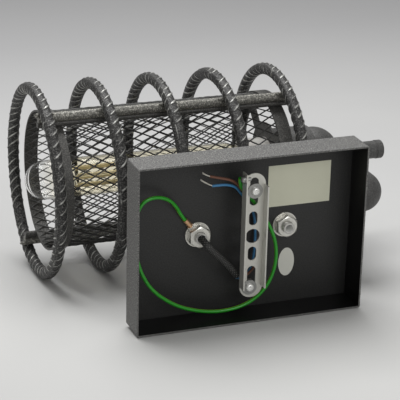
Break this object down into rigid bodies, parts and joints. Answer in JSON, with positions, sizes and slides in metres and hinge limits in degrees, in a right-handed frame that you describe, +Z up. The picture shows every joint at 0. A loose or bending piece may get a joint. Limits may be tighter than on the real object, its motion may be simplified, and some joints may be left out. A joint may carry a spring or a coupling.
{
  "type": "cage wall light",
  "caption": "Industrial wall light: a bulb in an expanded-metal basket inside ribbed steel rings, held by painted plumbing fittings on a folded steel back plate, shown wall side up.",
  "frame": {"origin": "middle of the back plate's rim, on the wall", "axes": "+Y out of the wall into the room, +Z up, +X along the cage towards the fitting that holds it"},
  "size_m": [0.3505, 0.2763, 0.1774],
  "materials": {
    "plate_paint": "satin",
    "cage_paint": "satin",
    "fitting_paint": "satin",
    "zinc": "satin",
    "mesh_steel": "satin",
    "porcelain": "gloss",
    "brass": "satin",
    "nickel": "gloss",
    "glass": "gloss",
    "black_glass": "gloss",
    "phosphor": "matt",
    "earth_insulation": "satin",
    "brown_insulation": "satin",
    "blue_insulation": "satin",
    "sleeve_insulation": "satin",
    "copper": "satin",
    "label_foil": "satin"
  },
  "bodies": {
    "fixture": {"back_plate": "plate_paint", "mounting_bracket": "zinc", "bracket_screws": "zinc", "bracket_washers": "zinc", "lock_nuts": "zinc", "cap_nuts": "fitting_paint", "earth_screw": "zinc", "earth_washer": "zinc", "threaded_nipple_left": "brass", "threaded_nipple_right": "zinc", "lock_washer_left": "zinc", "lock_washer_right": "zinc", "nipple_nut_left": "zinc", "nipple_nut_right": "zinc", "earth_lug": "brass", "earth_wire": "earth_insulation", "cable_sleeve": "sleeve_insulation", "brown_wire": "brown_insulation", "blue_wire": "blue_insulation", "brown_strand": "copper", "blue_strand": "copper", "base_elbow": "fitting_paint", "base_tee": "fitting_paint", "plate_spigot_left": "fitting_paint", "plate_spigot_right": "fitting_paint", "close_nipple": "fitting_paint", "run_pipe": "fitting_paint", "lower_elbow": "fitting_paint", "leg_pipe": "fitting_paint", "upper_elbow": "fitting_paint", "stub_pipe": "fitting_paint", "stub_cap": "fitting_paint", "cage_bar_upper": "cage_paint", "cage_bar_lower": "cage_paint", "cage_rod_upper": "cage_paint", "cage_rod_lower": "cage_paint", "basket_hoop_left": "cage_paint", "basket_hoop_right": "cage_paint", "basket_spider": "cage_paint", "basket_mesh": "mesh_steel", "lamp_holder": "porcelain", "holder_shell": "brass", "holder_contact": "brass", "bare_label": "label_foil", "oval_sticker": "label_foil", "cage_ring_1": "cage_paint", "cage_ring_2": "cage_paint", "cage_ring_3": "cage_paint", "cage_ring_4": "cage_paint", "cage_ring_5": "cage_paint"},
    "bulb": {"bulb_glass": "glass", "bulb_cap": "nickel", "bulb_insulator": "black_glass", "bulb_contact": "nickel", "bulb_stem": "glass", "bulb_filaments": "phosphor", "filament_supports": "nickel"}
  },
  "joints": [
    {"name": "bulb_out", "type": "slide", "parent": "fixture", "child": "bulb", "axis": [-1, 0, 0], "range_m": [0, 0.24]}
  ]
}
